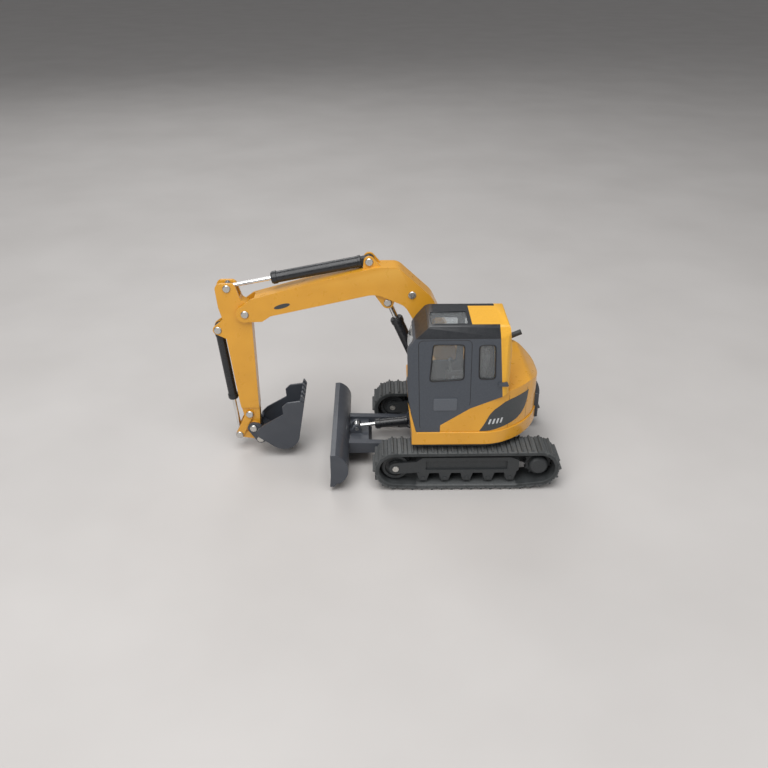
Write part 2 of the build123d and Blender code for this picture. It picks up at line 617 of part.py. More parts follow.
def rear_zone():
    """The yellow part of the cab: rear pillars, rear wall and the rear half of the roof skin."""
    pillar = side(polygon((-5.7, 50), (-5.7, 42), (-7.2, 25), (-7.2, 10), (-20, 10), (-20, 50)), -5, 25)
    right, left = ROOF_PLATE_Y
    plate = polygon((-20, right), (ROOF_SPLIT_X, right), (ROOF_SPLIT_X, left), (-20, left))
    return pillar + slab(plate, CAB_TOP - 0.5, 50)


def glass_layer():
    """A sheet of glass running all round the cab, inside the wall's outer face."""
    return cab_solid(GLASS_DEPTH) - cab_solid(GLASS_DEPTH + GLASS)


def side_glass():
    """One flat pane in each side window."""
    left, right = CAB_LEFT - GLASS_DEPTH, CAB_RIGHT + GLASS_DEPTH
    panes = [side(window, left - GLASS, left) for window in left_windows()]
    return panes + [side(window, right, right + GLASS) for window in right_windows()]


def door_latch():
    outline = rounded([(-8.5, 28.0), (-6.0, 28.0), (-6.0, 28.9), (-8.0, 28.9)], 0.25)
    return side(outline, CAB_LEFT - 1.2, CAB_LEFT + 0.45) - cab_solid(0)


def cab_floor():
    plan = rounded([(-7.0, 3.8), (11.5, 3.8), (11.5, 15.4), (-7.0, 15.4)], [0.5, 4.2, 0.8, 0.5])
    return slab(plan, SKIRT_TOP + 0.9, SKIRT_TOP + 1.9)


def seat():
    y = (CAB_LEFT + CAB_RIGHT) / 2
    cushion = Pos(0.2, y, 24.4) * Box(6.2, 6.4, 1.8)
    base = Pos(0.0, y, 20.6) * Box(4.6, 5.0, 5.6)
    back = Pos(-3.2, y, 29.4) * Rot(0, -8, 0) * Box(1.5, 6.2, 9.4)
    head = Pos(-4.1, y, 35.4) * Rot(0, -8, 0) * Box(1.2, 3.6, 2.2)
    cushion = fillet(cushion.edges().filter_by(Axis.Z), 0.8)
    back = fillet(back.edges().filter_by(lambda e: e.length < 2.0), 0.6)
    return base + cushion + back + head


def operator_controls():
    """Arm consoles with their joysticks, and the two travel levers in front of the seat."""
    y = (CAB_LEFT + CAB_RIGHT) / 2
    out = []
    for sign in (-1, 1):
        console = Pos(1.4, y + sign * 4.6, 24.6) * Box(6.6, 1.8, 2.0)
        stand = Pos(0.4, y + sign * 4.6, 20.7) * Box(3.0, 1.4, 5.8)
        stick = Pos(3.8, y + sign * 4.6, 27.0) * Cylinder(0.28, 3.0)
        knob = Pos(3.8, y + sign * 4.6, 28.7) * Sphere(0.6)
        out.append(console + stand + stick + knob)
        lever = Pos(9.6, y + sign * 1.3, 20.6) * Cylinder(0.3, 5.6)
        grip = Pos(9.6, y + sign * 1.3, 24.0) * Cylinder(0.5, 1.6)
        out.append(lever + grip)
    return out


# ---------------------------------------------------------------- boom
def boom_outline():
    points = [
        (53.2, 40.4), (50.6, 42.3), (33.0, 47.2), (21.5, 50.0), (16.2, 50.0), (8.2, 42.6), (-3.3, 17.9),
        (1.1, 15.9), (14.5, 40.4), (21.5, 43.5), (46.4, 38.0), (48.4, 36.6), (53.0, 36.5)
    ]
    radii = [0.8, 1.0, 10.0, 4.0, 3.0, 5.0, 0.6, 0.6, 4.0, 6.0, 1.5, 1.0, 0.8]
    return rounded(points, radii)


def boom():
    outline = boom_outline() + disc(STICK_PIVOT, 2.1) + disc(FOOT, 2.4)
    solid = middle(BOOM_HALF, outline)
    solid -= middle(CHEEK_INNER, disc(STICK_PIVOT, 4.6))
    solid -= middle(LUG_INNER, disc(BOOM_CYL_EYE, 2.2))
    top_lug = hull((STICK_CYL_BASE, 1.3), ((20.6, 49.0), 0.9), ((23.6, 48.3), 0.9))
    low_lug = hull((BOOM_CYL_EYE, 1.45), ((17.2, 44.0), 0.9), ((21.6, 44.4), 0.9))
    solid += across(LUG_INNER, LUG_OUTER, top_lug) + across(LUG_INNER, LUG_OUTER, low_lug)
    solid -= cross_pin(STICK_PIVOT, 5) + cross_pin(STICK_CYL_BASE, 5) + cross_pin(BOOM_CYL_EYE, 5)
    solid -= cross_pin(BOOM_SIDE_PIN, 5) + cross_pin(FOOT, 5, FOOT_PIN_R + RUNNING)
    return solid


def boom_pins():
    return [
        rivet(STICK_PIVOT, BOOM_HALF),
        rivet(STICK_CYL_BASE, LUG_OUTER),
        stub_rivet(BOOM_CYL_EYE, LUG_INNER, LUG_OUTER),
        rivet(BOOM_SIDE_PIN, BOOM_HALF),
    ]


# ---------------------------------------------------------------- stick
def stick():
    outline = rounded([
        (54.5, 45.9), (59.2, 45.9), (58.7, 40.0), (57.6, 35.6), (57.4, 31.6), (55.6, 14.0), (54.9, 10.0),
        (54.3, 5.6), (51.2, 5.7), (50.9, 11.0), (51.0, 35.5), (50.9, 40.4), (53.2, 41.6)
    ], [1.4, 1.4, 1.0, 1.0, 1.0, 1.0, 0.8, 1.3, 1.3, 1.0, 1.0, 0.8, 1.0])
    body = middle(STICK_HALF, outline)
    body -= across(STICK_TIP_HALF, STICK_HALF + 1, polygon((48, 3), (60, 3), (60, 12.6), (48, 12.6)))
    body += middle(CHEEK_INNER - 0.02, disc(BUCKET_PIVOT, 1.35))
    body -= middle(STICK_HEAD_SLOT, disc(STICK_CYL_EYE, 3.6))
    lug = hull((BUCKET_CYL_BASE, 1.2), ((56.4, 36.6), 1.0), ((56.4, 32.4), 1.0))
    body += across(STICK_LUG_INNER, STICK_HALF, lug)
    body -= middle(STICK_LUG_INNER, disc(BUCKET_CYL_BASE, 1.7))
    pivot = cross_pin(STICK_PIVOT, 5, PIN_R + RUNNING) + cross_pin(BUCKET_PIVOT, 5, PIN_R + RUNNING)
    fixed = cross_pin(STICK_CYL_EYE, 5) + cross_pin(BUCKET_CYL_BASE, 5) + cross_pin(ROCKER_PIVOT, 5)
    return body - pivot - fixed


def stick_pins():
    return [
        stub_rivet(STICK_CYL_EYE, STICK_HEAD_SLOT, STICK_HALF),
        rivet(BUCKET_CYL_BASE, STICK_HALF),
        rivet(ROCKER_PIVOT, ROCKER_OUTER + 0.05),
    ]


# ---------------------------------------------------------------- bucket and its linkage
def rocker():
    plate = hull((ROCKER_PIVOT, 0.95), (LINK_JOINT, 0.95))
    plates = across(ROCKER_INNER, ROCKER_OUTER, plate)
    return plates - cross_pin(ROCKER_PIVOT, 5, PIN_R + RUNNING) - cross_pin(LINK_JOINT, 5)


def power_link():
    plate = hull((BUCKET_LINK, 0.95), (LINK_JOINT, 0.9))
    web = polygon((52.2, 3.6), (54.4, 3.9), (54.4, 4.7), (52.2, 4.4))
    link = across(LINK_INNER, LINK_OUTER, plate) + middle(LINK_INNER, web)
    return link - cross_pin(BUCKET_LINK, 5, PIN_R + RUNNING) - cross_pin(LINK_JOINT, 5, PIN_R + OPEN_EYE)


def bucket_profile(inset):
    """Hinge end, round heel, lip corner and top corner in side view, before the mouth is cut."""
    return hull(((44.9, 6.4), 4.1 - inset), ((50.0, 6.9), 1.5 - inset), ((40.3, 15.1), 1.0 - inset),
                ((43.1, 14.7), 1.0 - inset))


def bucket_inside():
    """Inside of the bucket, carried out through its mouth."""
    half = BUCKET_HALF - BUCKET_WALL
    beyond = polygon((40.2, 18.0), (40.2, 13.0), (44.4, 11.2), (50.2, 7.4), (53.0, 9.8), (53.0, 18.0))
    return [middle(half, bucket_profile(BUCKET_WALL)), middle(half, beyond)]


def bucket():
    """Curved shell with a side plate each side and two ears for the hinge and the link."""
    ear = hull((BUCKET_PIVOT, 1.5), (BUCKET_LINK, 1.2), ((47.6, 5.2), 0.8), ((48.6, 7.0), 0.8))
    mouth = polygon((44.9, 16.5), (44.6, 12.3), (51.2, 8.4), (54.0, 8.4), (54.0, 16.5))
    body = middle(BUCKET_HALF, bucket_profile(0) - mouth)
    for space in bucket_inside():
        body -= space
    ears = across(EAR_INNER, EAR_OUTER, ear)
    for space in bucket_inside():
        ears -= space
    body += ears
    body -= middle(EAR_INNER, disc(BUCKET_PIVOT, 2.4))
    body -= middle(EAR_INNER, disc(BUCKET_LINK, 1.3))
    return body - cross_pin(BUCKET_PIVOT, EAR_OUTER) - cross_pin(BUCKET_LINK, EAR_OUTER)


def bucket_teeth(shell):
    """A row of pointed teeth along the lip, clear of the shell they stand on."""
    tooth = polygon((39.4, 15.4), (40.2, 15.4), (40.3, 16.3), (40.0, 17.4), (39.7, 17.4), (39.1, 16.3))
    edge = BUCKET_HALF - 0.75
    out = []
    for i in range(TOOTH_COUNT):
        y = LINK_Y - edge + 2 * edge * i / (TOOTH_COUNT - 1)
        out.append(side(tooth, y - 0.5, y + 0.5) - shell)
    return out


def bucket_pins():
    return [rivet(BUCKET_PIVOT, EAR_OUTER), rivet(BUCKET_LINK, EAR_OUTER)]


# ---------------------------------------------------------------- write every node
write("car_body", car_body())
write("track_frame_left", track_frame())
write("track_frame_right", mirrored(track_frame()))
belt = track_belt()
write("track_left", belt)
write("track_right", mirrored(belt))
write("track_rollers", *rollers(), *[mirrored(roller) for roller in rollers()])
write("wheel_axles", *wheel_axles(), *[mirrored(axle) for axle in wheel_axles()])
write("sprocket_left", sprocket())
write("sprocket_right", mirrored(sprocket()))
write("idler_left", idler())
write("idler_right", mirrored(idler()))
write("swing_ring_lower", bearing_ring(BODY_TOP, RING_SPLIT_LOW, BEARING_R))
write("swing_ring_upper", bearing_ring(RING_SPLIT_HIGH, DECK_BOTTOM, BEARING_R - BEARING_STEP))
write("swing_pin", swing_pin())
arm_pins = [y_pin(BLADE_PIVOT, y, BLADE_ARM_HALF * 2) for y in (BLADE_ARM_Y, -BLADE_ARM_Y)]
write("chassis_pins", *arm_pins, y_pin(BLADE_CYL_BASE, 0, BLADE_LUG_OUTER))
write("blade_moldboard", moldboard())
write("blade_cutting_edge", cutting_edge())
write("blade_arms", blade_arms())
write("blade_rod_pin", *rod_pins())
write("blade_cylinder_barrel", barrel(BLADE_CYL_BASE, BLADE_CYL_EYE, BLADE_TUBE, BLADE_TUBE_R, BLADE_ROD_R,
                                      eye_radius=1.0, eye_half=0.9, clear=0.4, y=0))
write("blade_cylinder_rod", rod(BLADE_CYL_BASE, BLADE_CYL_EYE, BLADE_ROD, BLADE_TUBE_R, BLADE_ROD_R,
                                eye_radius=1.0, eye_half=0.9, y=0))

write("deck", deck())
write("boom_bracket", boom_bracket())
write("upper_pins", rivet(FOOT, BRACKET_OUTER, FOOT_PIN_R, FOOT_HEAD_R), rivet(BOOM_CYL_BASE, BRACKET_OUTER))
write("skirt_left", skirt_left())
write("skirt_right", skirt_right())
write("counterweight", counterweight())
write("side_panel_left", side_panel_left())
write("engine_hood", engine_hood())
write("tank_cover", tank_cover())
write("pump_cover", pump_cover())
write("exhaust_pipe", exhaust_pipe())

cab = cab_shell() - side_panel_left()
write("cab_frame", cab - rear_zone())
write("cab_rear_cover", cab & rear_zone())
glass = glass_layer()
write("windscreen", glass & windscreen_hole())
write("skylight", glass & skylight_hole())
write("rear_window", glass & rear_hole())
write("side_windows", *side_glass())
write("door_latch", door_latch())
write("cab_floor", cab_floor())
write("seat", seat())
write("operator_controls", *operator_controls())

write("boom", boom())
write("boom_pins", *boom_pins())
write("boom_cylinder_barrel", barrel(BOOM_CYL_BASE, BOOM_CYL_EYE, BOOM_TUBE, BOOM_TUBE_R, BOOM_ROD_R,
                                     eye_radius=1.3, eye_half=0.9, clear=0.35))
write("boom_cylinder_rod", rod(BOOM_CYL_BASE, BOOM_CYL_EYE, BOOM_ROD, BOOM_TUBE_R, BOOM_ROD_R,
                               eye_radius=1.25, eye_half=0.95))
write("stick_cylinder_barrel", barrel(STICK_CYL_BASE, STICK_CYL_EYE, STICK_TUBE, STICK_TUBE_R, STICK_ROD_R,
                                      eye_radius=1.15, eye_half=0.95, clear=0.8))
write("stick_cylinder_rod", rod(STICK_CYL_BASE, STICK_CYL_EYE, STICK_ROD, STICK_TUBE_R, STICK_ROD_R,
                                eye_radius=1.15, eye_half=0.9))
write("stick", stick())
write("stick_pins", *stick_pins())
write("bucket_cylinder_barrel", barrel(BUCKET_CYL_BASE, LINK_JOINT, BUCKET_TUBE, BUCKET_TUBE_R, BUCKET_ROD_R,
                                       eye_radius=1.1, eye_half=1.1, clear=0.35))
write("bucket_cylinder_rod", rod(BUCKET_CYL_BASE, LINK_JOINT, BUCKET_ROD, BUCKET_TUBE_R, BUCKET_ROD_R,
                                 eye_radius=0.95, eye_half=0.85))
write("rocker", rocker())
write("link_pin", stub_rivet(LINK_JOINT, ROCKER_INNER, ROCKER_OUTER))
write("power_link", power_link())
bucket_shell = bucket()
write("bucket", bucket_shell)
write("bucket_teeth", *bucket_teeth(bucket_shell))
write("bucket_pins", *bucket_pins())
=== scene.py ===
import bmesh
import bpy
import json
import math
from mathutils import Matrix, Vector


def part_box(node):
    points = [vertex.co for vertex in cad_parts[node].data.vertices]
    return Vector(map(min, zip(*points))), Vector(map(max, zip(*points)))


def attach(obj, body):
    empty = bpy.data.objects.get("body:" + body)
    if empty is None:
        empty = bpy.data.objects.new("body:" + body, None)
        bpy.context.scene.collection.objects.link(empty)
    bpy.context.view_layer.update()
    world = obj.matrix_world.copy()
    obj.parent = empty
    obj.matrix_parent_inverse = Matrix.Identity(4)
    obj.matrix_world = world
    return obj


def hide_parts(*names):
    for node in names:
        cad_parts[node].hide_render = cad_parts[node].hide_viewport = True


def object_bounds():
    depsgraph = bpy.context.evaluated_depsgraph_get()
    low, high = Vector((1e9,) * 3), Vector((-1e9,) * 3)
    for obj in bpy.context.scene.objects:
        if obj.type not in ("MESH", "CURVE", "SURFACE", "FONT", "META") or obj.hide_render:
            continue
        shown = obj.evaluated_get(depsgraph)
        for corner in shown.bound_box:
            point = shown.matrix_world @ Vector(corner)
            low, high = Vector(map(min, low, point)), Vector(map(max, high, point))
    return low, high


# Looks of the 1:64 tracked excavator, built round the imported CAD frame.
# Lengths below are millimetres in the part's frame; MM turns them into Blender's metres.

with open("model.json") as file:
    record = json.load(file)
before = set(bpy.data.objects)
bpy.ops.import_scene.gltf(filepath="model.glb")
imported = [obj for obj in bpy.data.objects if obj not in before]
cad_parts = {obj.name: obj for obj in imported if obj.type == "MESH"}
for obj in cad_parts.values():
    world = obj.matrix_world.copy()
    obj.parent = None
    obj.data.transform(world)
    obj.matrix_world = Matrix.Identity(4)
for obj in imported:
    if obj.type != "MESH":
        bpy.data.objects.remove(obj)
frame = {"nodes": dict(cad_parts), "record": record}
CAD_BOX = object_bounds()
MM = 0.001
RECORD = frame["record"]
BODY_OF = {node: body for body, nodes in RECORD["behaviour"]["bodies"].items() for node in nodes}
SLOT_OF = {part["node"]: part["material_slot"] for part in RECORD["subparts"]}


# ---------------------------------------------------------------- materials
NOISE_LOW, NOISE_HIGH = 0.3, 0.7  # the span of a noise texture that a ramp is stretched over


class Tree:
    """A Principled material and the few texture nodes these finishes share."""

    def __init__(self, name, **constants):
        self.material = bpy.data.materials.new(name)
        self.material.use_nodes = True
        self.nodes = self.material.node_tree.nodes
        self.links = self.material.node_tree.links
        self.shader = self.nodes["Principled BSDF"]
        for socket, value in constants.items():
            self.shader.inputs[socket.replace("_", " ")].default_value = value
        self.place = self.nodes.new("ShaderNodeTexCoord").outputs["Object"]

    def noise(self, size, detail=3.0, stretch=(1, 1, 1)):
        """Noise with blobs about size millimetres across, drawn out along an axis by stretch."""
        mapping = self.nodes.new("ShaderNodeMapping")
        mapping.inputs["Scale"].default_value = [1 / (size * MM * s) for s in stretch]
        self.links.new(self.place, mapping.inputs["Vector"])
        texture = self.nodes.new("ShaderNodeTexNoise")
        texture.inputs["Scale"].default_value = 1.0
        texture.inputs["Detail"].default_value = detail
        self.links.new(mapping.outputs["Vector"], texture.inputs["Vector"])
        return texture.outputs["Fac"]

    def ramp(self, source, low, high, start=NOISE_LOW, end=NOISE_HIGH):
        """Source turned into a colour between low and high."""
        node = self.nodes.new("ShaderNodeValToRGB")
        node.color_ramp.elements[0].position = start
        node.color_ramp.elements[1].position = end
        node.color_ramp.elements[0].color = (*low, 1)
        node.color_ramp.elements[1].color = (*high, 1)
        self.links.new(source, node.inputs["Fac"])
        return node.outputs["Color"]

    def plain(self, colour):
        """One colour all over."""
        node = self.nodes.new("ShaderNodeRGB")
        node.outputs["Color"].default_value = (*colour, 1)
        return node.outputs["Color"]

    def spread(self, source, low, high):
        """Source turned into a number between low and high."""
        node = self.nodes.new("ShaderNodeMapRange")
        node.inputs["From Min"].default_value = NOISE_LOW
        node.inputs["From Max"].default_value = NOISE_HIGH
        node.inputs["To Min"].default_value = low
        node.inputs["To Max"].default_value = high
        self.links.new(source, node.inputs["Value"])
        return node.outputs["Result"]

    def mix(self, share, first, second):
        """First colour where share is 0, second where it is 1."""
        node = self.nodes.new("ShaderNodeMix")
        node.data_type = "RGBA"
        self.links.new(share, node.inputs["Factor"])
        self.links.new(first, node.inputs["A"])
        self.links.new(second, node.inputs["B"])
        return node.outputs["Result"]

    def edges(self, start, end):
        """White along raised edges, from the mesh's own pointiness."""
        geometry = self.nodes.new("ShaderNodeNewGeometry")
        return self.ramp(geometry.outputs["Pointiness"], (0, 0, 0), (1, 1, 1), start, end)

    def set(self, socket, source):
        """Feeds one of the shader's inputs."""
        self.links.new(source, self.shader.inputs[socket])

    def bump(self, source, depth, strength=0.5):
        """Relief depth millimetres deep."""
        node = self.nodes.new("ShaderNodeBump")
        node.inputs["Distance"].default_value = depth * MM
        node.inputs["Strength"].default_value = strength
        self.links.new(source, node.inputs["Height"])
        self.set("Normal", node.outputs["Normal"])


def painted(name, dark, light, edge, roughness, coat):
    """Die-cast enamel: soft colour drift, faint orange peel, thinner paint along the edges."""
    tree = Tree(name, Coat_Weight=coat, Coat_Roughness=0.12, Specular_IOR_Level=0.5)
    drift = tree.ramp(tree.noise(6.0, 2.0), dark, light)
    tree.set("Base Color", tree.mix(tree.edges(0.60, 0.80), drift, tree.plain(edge)))
    tree.set("Roughness", tree.spread(tree.noise(1.5), *roughness))
    tree.bump(tree.noise(1.2, 0.0), 0.008, 0.15)
    return tree.material


def moulded(name, dark, light, roughness, grain, relief):
    """Injection-moulded plastic with a fine spark-eroded grain."""
    tree = Tree(name, Specular_IOR_Level=0.5)
    speckle = tree.ramp(tree.noise(grain, 4.0), dark, light)
    tree.set("Base Color", speckle)
    tree.set("Roughness", tree.spread(tree.noise(grain * 4), *roughness))
    tree.bump(tree.noise(grain, 4.0), relief, 0.6)
    return tree.material


def rubber(name):
    """Track rubber: matt, dusty in the drift, lighter where the tread bars rub."""
    tree = Tree(name, Specular_IOR_Level=0.35)
    drift = tree.ramp(tree.noise(2.5, 5.0), (0.030, 0.033, 0.034), (0.052, 0.056, 0.058))
    worn = tree.ramp(tree.noise(0.4), (0.085, 0.090, 0.092), (0.12, 0.125, 0.126))
    tree.set("Base Color", tree.mix(tree.edges(0.54, 0.64), drift, worn))
    tree.set("Roughness", tree.spread(tree.noise(1.0), 0.55, 0.75))
    tree.bump(tree.noise(0.25, 5.0), 0.03, 0.7)
    return tree.material


def metal(name, colour, roughness, stretch, size):
    """Turned or polished metal with fine marks drawn out along the stretched axis."""
    tree = Tree(name, Metallic=1.0)
    marks = tree.noise(size, 6.0, stretch)
    tree.set("Base Color", tree.ramp(marks, [c * 0.88 for c in colour], colour))
    tree.set("Roughness", tree.spread(marks, *roughness))
    tree.bump(marks, 0.006, 0.4)
    return tree.material


def clear(name):
    """Clear polystyrene glazing with a barely wavy surface."""
    tree = Tree(name, Transmission_Weight=0.92, IOR=1.45, Roughness=0.03)
    tree.set("Base Color", tree.ramp(tree.noise(8.0), (0.80, 0.84, 0.86), (0.86, 0.89, 0.90)))
    tree.bump(tree.noise(5.0, 1.0), 0.02, 0.2)
    return tree.material


MATERIALS = {
    "yellow_enamel": painted("yellow_enamel", (0.66, 0.310, 0.022), (0.72, 0.345, 0.028),
                             (0.80, 0.44, 0.07), (0.26, 0.38), 0.35),
    "yellow_plastic": moulded("yellow_plastic", (0.74, 0.375, 0.028), (0.80, 0.42, 0.036),
                              (0.34, 0.48), 0.35, 0.03),
    "cab_grey": moulded("cab_grey", (0.052, 0.060, 0.074), (0.066, 0.075, 0.090),
                        (0.36, 0.50), 0.25, 0.02),
    "charcoal_enamel": painted("charcoal_enamel", (0.042, 0.048, 0.060), (0.056, 0.062, 0.074),
                               (0.13, 0.14, 0.16), (0.34, 0.48), 0.15),
    "charcoal_plastic": moulded("charcoal_plastic", (0.026, 0.029, 0.031), (0.038, 0.041, 0.043),
                                (0.45, 0.62), 0.30, 0.03),
    "track_rubber": rubber("track_rubber"),
    "pin_steel": metal("pin_steel", (0.62, 0.61, 0.58), (0.22, 0.38), (1, 1, 6), 0.25),
    "rod_chrome": metal("rod_chrome", (0.80, 0.80, 0.79), (0.06, 0.16), (5, 1, 5), 0.5),
    "cylinder_black": moulded("cylinder_black", (0.012, 0.013, 0.015), (0.020, 0.021, 0.024),
                              (0.22, 0.34), 0.6, 0.01),
    "clear_plastic": clear("clear_plastic"),
    "interior_plastic": moulded("interior_plastic", (0.17, 0.175, 0.18), (0.23, 0.235, 0.24),
                                (0.5, 0.65), 0.2, 0.03),
}
SEAL = moulded("seal_rubber", (0.010, 0.010, 0.011), (0.018, 0.018, 0.020), (0.5, 0.7), 0.2, 0.02)
DECAL = moulded("decal_vinyl", (0.040, 0.046, 0.050), (0.050, 0.056, 0.060),
                (0.30, 0.42), 0.5, 0.006)
ROOF_BLACK = moulded("roof_black", (0.016, 0.018, 0.021), (0.026, 0.028, 0.032),
                     (0.30, 0.44), 0.25, 0.02)
PANEL_GREY = moulded("panel_grey", (0.085, 0.095, 0.112), (0.105, 0.115, 0.132),
                     (0.36, 0.50), 0.25, 0.02)
PALE_PRINT = moulded("pale_print", (0.50, 0.52, 0.53), (0.60, 0.61, 0.62), (0.35, 0.5), 0.2, 0.006)


# ---------------------------------------------------------------- mesh helpers
WELD_DISTANCE = 0.002
FLAT_ANGLE = 0.1  # degrees; triangles flatter than this to each other are one face
SOFTENED_ANGLE = 32  # degrees; edges sharper than this are rounded
CORNER_STEPS = 5
BEAD_SIDES = 10


def add_object(name, bm, material, smooth_angle=35):
    """A new object from the mesh, shaded smooth up to smooth_angle degrees."""
    mesh = bpy.data.meshes.new(name)
    bmesh.ops.recalc_face_normals(bm, faces=bm.faces)
    bm.to_mesh(mesh)
    bm.free()
    for polygon in mesh.polygons:
        polygon.use_smooth = True
    mesh.set_sharp_from_angle(angle=math.radians(smooth_angle))
    mesh.materials.append(material)
    obj = bpy.data.objects.new(name, mesh)
    bpy.context.scene.collection.objects.link(obj)
    return obj


def soften(obj, width, segments=2):
    """Rounds the sharp edges, as a casting's or a moulding's edges are."""
    bevel = obj.modifiers.new("soft_edges", "BEVEL")
    bevel.width = width * MM
    bevel.segments = segments
    bevel.limit_method = "ANGLE"
    bevel.angle_limit = math.radians(SOFTENED_ANGLE)
    bevel.harden_normals = True
    return obj


def belongs(obj, node):
    """obj rides with a CAD node's body."""
    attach(obj, BODY_OF[node])
    return obj


def finished(node, edge):
    """The CAD node's own surface without its flat triangles, edges softened, in its finish."""
    bm = bmesh.new()
    bm.from_mesh(frame["nodes"][node].data)
    bmesh.ops.remove_doubles(bm, verts=bm.verts, dist=WELD_DISTANCE * MM)
    flat = math.radians(FLAT_ANGLE)
    bmesh.ops.dissolve_limit(bm, angle_limit=flat, verts=bm.verts, edges=bm.edges)
    obj = add_object(f"{node}_finish", bm, MATERIALS[SLOT_OF[node]])
    if edge:
        soften(obj, edge)
    belongs(obj, node)
    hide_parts(node)
    return obj


def prism(bm, outline, low, high):
    """A closed outline of (x, z) points extruded along Y, from low to high."""
    ends = []
    for y in (low, high):
        ends.append([bm.verts.new(Vector((x, y, z)) * MM) for x, z in outline])
    bm.faces.new(ends[0])
    bm.faces.new(list(reversed(ends[1])))
    count = len(outline)
    for i in range(count):
        bm.faces.new([ends[0][i], ends[1][i], ends[1][(i + 1) % count], ends[0][(i + 1) % count]])


def rounded(points, radius):
    """The outline's corners replaced by arcs, drawn as quadratic curves."""
    out = []
    count = len(points)
    for i, corner in enumerate(points):
        here = Vector(corner)
        before, after = Vector(points[i - 1]), Vector(points[(i + 1) % count])
        start = here + (before - here).normalized() * min(radius, (before - here).length / 2)
        end = here + (after - here).normalized() * min(radius, (after - here).length / 2)
        for k in range(CORNER_STEPS + 1):
            t = k / CORNER_STEPS
            out.append((1 - t) ** 2 * start + 2 * t * (1 - t) * here + t * t * end)
    return [tuple(p) for p in out]


def plate(name, node, outline, low, high, material, edge):
    """A flat piece facing Y, with softened edges."""
    bm = bmesh.new()
    prism(bm, outline, low, high)
    return belongs(soften(add_object(name, bm, material), edge), node)


def bead(name, node, points, radius, material, closed=False):
    """A round bead or bar along a line of points."""
    bm = bmesh.new()
    line = [Vector(p) for p in points]
    count = len(line)
    rings = []
    normal = None
    for i, here in enumerate(line):
        ahead = line[(i + 1) % count] if closed or i < count - 1 else here
        behind = line[i - 1] if closed or i else here
        tangent = (ahead - behind).normalized()
        if normal is None:
            normal = tangent.orthogonal()
        normal = (normal - tangent * normal.dot(tangent)).normalized()
        across = tangent.cross(normal)
        ring = []
        for k in range(BEAD_SIDES):
            turn = math.tau * k / BEAD_SIDES
            spoke = normal * math.cos(turn) + across * math.sin(turn)
            ring.append(bm.verts.new((here + spoke * radius) * MM))
        rings.append(ring)
    for i in range(count if closed else count - 1):
        first, second = rings[i], rings[(i + 1) % count]
        for k in range(BEAD_SIDES):
            j = (k + 1) % BEAD_SIDES
            bm.faces.new([first[k], first[j], second[j], second[k]])
    if not closed:
        bm.faces.new(rings[0])
        bm.faces.new(rings[-1])
    return belongs(add_object(name, bm, material, 60), node)


def corners(node):
    """A node's box in millimetres."""
    low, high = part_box(node)
    return low / MM, high / MM


# ---------------------------------------------------------------- tracks
SHOES = 42
SHOE_WIDTH = 7.0
TREAD_HEIGHT = 0.5
BELT_THICKNESS = 1.1
SOLE_HALF = 12.0  # half the length of belt that lies on the ground
RIM_STEPS = 240  # points round each end of the belt
BELT_STEPS = SHOES * 6
SHOE_GAP = 0.14  # half the gap between two shoes
SIDE_CLEARANCE = 0.02  # the belt between the shoes is this much narrower at each side
BAR_INSET = 0.1  # the tread bars stop this far short of the shoe's ends
# The belt's section: distance outward from the foot of the tread bars, inset from its side.
BELT_SECTION = ((-0.14, 0.1), (-0.3, 0.0), (0.12 - BELT_THICKNESS, 0.0), (-BELT_THICKNESS, 0.12))
# A tread bar's section: along the belt, outward.
TREAD_BAR = [(-0.34, -0.1), (0.34, -0.1), (0.24, 0.3), (0.17, TREAD_HEIGHT), (-0.17, TREAD_HEIGHT),
             (-0.24, 0.3)]


def hull_of(points):
    """Convex outline round the points, anticlockwise."""
    points = sorted(set(points))
    chains = []
    for ordered in (points, list(reversed(points))):
        chain = []
        for p in ordered:
            while len(chain) > 1 and (chain[-1][0] - chain[-2][0]) * (p[1] - chain[-2][1]) <= (
                chain[-1][1] - chain[-2][1]
            ) * (p[0] - chain[-2][0]):
                chain.pop()
            chain.append(p)
        chains.append(chain[:-1])
    return chains[0] + chains[1]


def belt_path(hand):
    """Points round the track at the foot of its tread bars."""
    track_low, track_high = corners(f"track_{hand}")
    points = []
    for wheel, reach in (("sprocket", -1), ("idler", 1)):
        low, high = corners(f"{wheel}_{hand}")
        x, z = (low.x + high.x) / 2, (low.z + high.z) / 2
        edge = track_high.x if reach > 0 else track_low.x
        radius = abs(edge - x) - TREAD_HEIGHT
        for k in range(RIM_STEPS):
            turn = math.tau * k / RIM_STEPS
            points.append((x + radius * math.cos(turn), z + radius * math.sin(turn)))
    points += [(-SOLE_HALF, TREAD_HEIGHT), (SOLE_HALF, TREAD_HEIGHT)]
    return [Vector(p) for p in hull_of(points)]


def walk(path, fraction):
    """Place and direction at a fraction of the closed path's length."""
    lengths = [(path[(i + 1) % len(path)] - p).length for i, p in enumerate(path)]
    left = (fraction % 1.0) * sum(lengths)
    for i, length in enumerate(lengths):
        if left <= length:
            step = (path[(i + 1) % len(path)] - path[i]).normalized()
            return path[i] + step * left, step
        left -= length
    return path[0], (path[1] - path[0]).normalized()


def shoe_block(bm, place, step, y, half_width, profile):
    """One block across the belt: profile is (along, outward) pairs."""
    outward = Vector((step.y, -step.x))
    outline = [place + step * along + outward * out for along, out in profile]
    prism(bm, outline, y - half_width, y + half_width)


